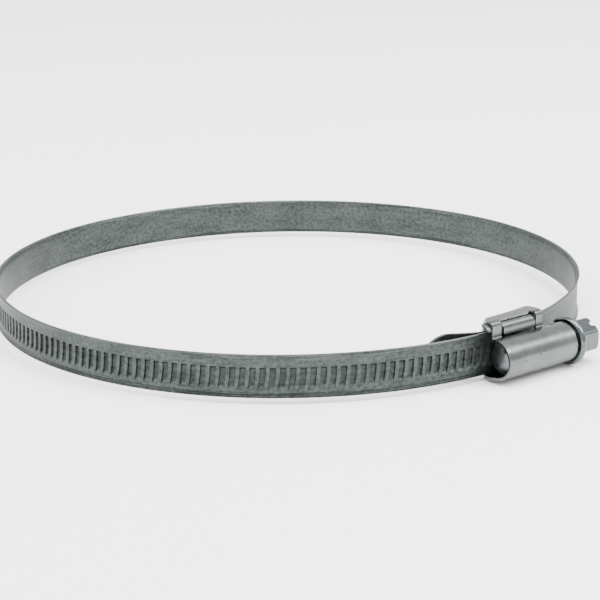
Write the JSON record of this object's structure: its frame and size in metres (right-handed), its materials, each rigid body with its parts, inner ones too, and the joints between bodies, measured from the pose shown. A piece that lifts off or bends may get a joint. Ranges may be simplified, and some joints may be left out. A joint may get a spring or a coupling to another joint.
{
  "type": "worm-drive hose clamp",
  "caption": "Worm-drive hose clamp: narrow slotted steel band closed to a ring by a hexagon-head worm screw in a pressed housing.",
  "frame": {"origin": "bottom centre of the box round the whole clamp; the ring's own axis is 4.3 mm behind it in +Y", "axes": "+Z along the hose; the housing is at -Y with the screw along X and its head towards +X; +Y across the ring away from the housing"},
  "size_m": [0.1382, 0.1468, 0.013],
  "materials": {
    "band_steel": "rolled strip, dull zinc plating with fine lengthwise lines",
    "housing_steel": "pressed sheet, bright zinc plating",
    "screw_steel": "turned steel, bright zinc plating"
  },
  "bodies": {
    "housing": {"housing": "housing_steel", "saddle": "housing_steel", "band_fixed_end": "band_steel"},
    "screw": {"worm_screw": "screw_steel"},
    "worm_end": {"band_worm_end": "band_steel"},
    "link_01": {"band_link_01": "band_steel"},
    "link_02": {"band_link_02": "band_steel"},
    "link_03": {"band_link_03": "band_steel"},
    "link_04": {"band_link_04": "band_steel"},
    "link_05": {"band_link_05": "band_steel"},
    "link_06": {"band_link_06": "band_steel"},
    "link_07": {"band_link_07": "band_steel"},
    "link_08": {"band_link_08": "band_steel"},
    "link_09": {"band_link_09": "band_steel"},
    "link_10": {"band_link_10": "band_steel"},
    "link_11": {"band_link_11": "band_steel"},
    "link_12": {"band_link_12": "band_steel"}
  },
  "joints": [
    {"name": "tighten", "type": "hinge", "parent": "housing", "child": "worm_end", "pos_m": [0.0003, 0.00435, 0.0058], "axis": [0, 0, 1], "range_deg": [-3.33, 44.97]},
    {"name": "screw_turn", "type": "hinge", "parent": "housing", "child": "screw", "pos_m": [0.0003, -0.06825, 0.0052], "axis": [-1, 0, 0], "range_deg": [-721, 9721]},
    {"name": "bend_01", "type": "hinge", "parent": "worm_end", "child": "link_01", "pos_m": [-0.05391, -0.038, 0.0058], "axis": [0, 0, 1], "range_deg": [-6.26, 0.51]},
    {"name": "bend_02", "type": "hinge", "parent": "link_01", "child": "link_02", "pos_m": [-0.06696, -0.00968, 0.0058], "axis": [0, 0, 1], "range_deg": [-4.59, 0.39]},
    {"name": "bend_03", "type": "hinge", "parent": "link_02", "child": "link_03", "pos_m": [-0.06615, 0.02146, 0.0058], "axis": [0, 0, 1], "range_deg": [-3.11, 0.28]},
    {"name": "bend_04", "type": "hinge", "parent": "link_03", "child": "link_04", "pos_m": [-0.05169, 0.049, 0.0058], "axis": [0, 0, 1], "range_deg": [-2.59, 0.24]},
    {"name": "bend_05", "type": "hinge", "parent": "link_04", "child": "link_05", "pos_m": [-0.02658, 0.06729, 0.0058], "axis": [0, 0, 1], "range_deg": [-3, 0.27]},
    {"name": "bend_06", "type": "hinge", "parent": "link_05", "child": "link_06", "pos_m": [0.00399, 0.0726, 0.0058], "axis": [0, 0, 1], "range_deg": [-3.8, 0.33]},
    {"name": "bend_07", "type": "hinge", "parent": "link_06", "child": "link_07", "pos_m": [0.03371, 0.06387, 0.0058], "axis": [0, 0, 1], "range_deg": [-4.36, 0.37]},
    {"name": "bend_08", "type": "hinge", "parent": "link_07", "child": "link_08", "pos_m": [0.0565, 0.04294, 0.0058], "axis": [0, 0, 1], "range_deg": [-4.32, 0.37]},
    {"name": "bend_09", "type": "hinge", "parent": "link_08", "child": "link_09", "pos_m": [0.06767, 0.01413, 0.0058], "axis": [0, 0, 1], "range_deg": [-3.79, 0.33]},
    {"name": "bend_10", "type": "hinge", "parent": "link_09", "child": "link_10", "pos_m": [0.06497, -0.01661, 0.0058], "axis": [0, 0, 1], "range_deg": [-3.22, 0.28]},
    {"name": "bend_11", "type": "hinge", "parent": "link_10", "child": "link_11", "pos_m": [0.04899, -0.04296, 0.0058], "axis": [0, 0, 1], "range_deg": [-3.03, 0.27]},
    {"name": "bend_12", "type": "hinge", "parent": "link_11", "child": "link_12", "pos_m": [0.02305, -0.05952, 0.0058], "axis": [0, 0, 1], "range_deg": [-3.22, 0.28]}
  ],
  "couplings": [
    {"joint": "screw_turn", "follows": "tighten", "ratio": 216.14},
    {"joint": "bend_01", "follows": "tighten", "ratio": -0.13809},
    {"joint": "bend_02", "follows": "tighten", "ratio": -0.10098},
    {"joint": "bend_03", "follows": "tighten", "ratio": -0.06804},
    {"joint": "bend_04", "follows": "tighten", "ratio": -0.05646},
    {"joint": "bend_05", "follows": "tighten", "ratio": -0.06552},
    {"joint": "bend_06", "follows": "tighten", "ratio": -0.08343},
    {"joint": "bend_07", "follows": "tighten", "ratio": -0.09588},
    {"joint": "bend_08", "follows": "tighten", "ratio": -0.09488},
    {"joint": "bend_09", "follows": "tighten", "ratio": -0.0831},
    {"joint": "bend_10", "follows": "tighten", "ratio": -0.07052},
    {"joint": "bend_11", "follows": "tighten", "ratio": -0.06622},
    {"joint": "bend_12", "follows": "tighten", "ratio": -0.07059}
  ]
}
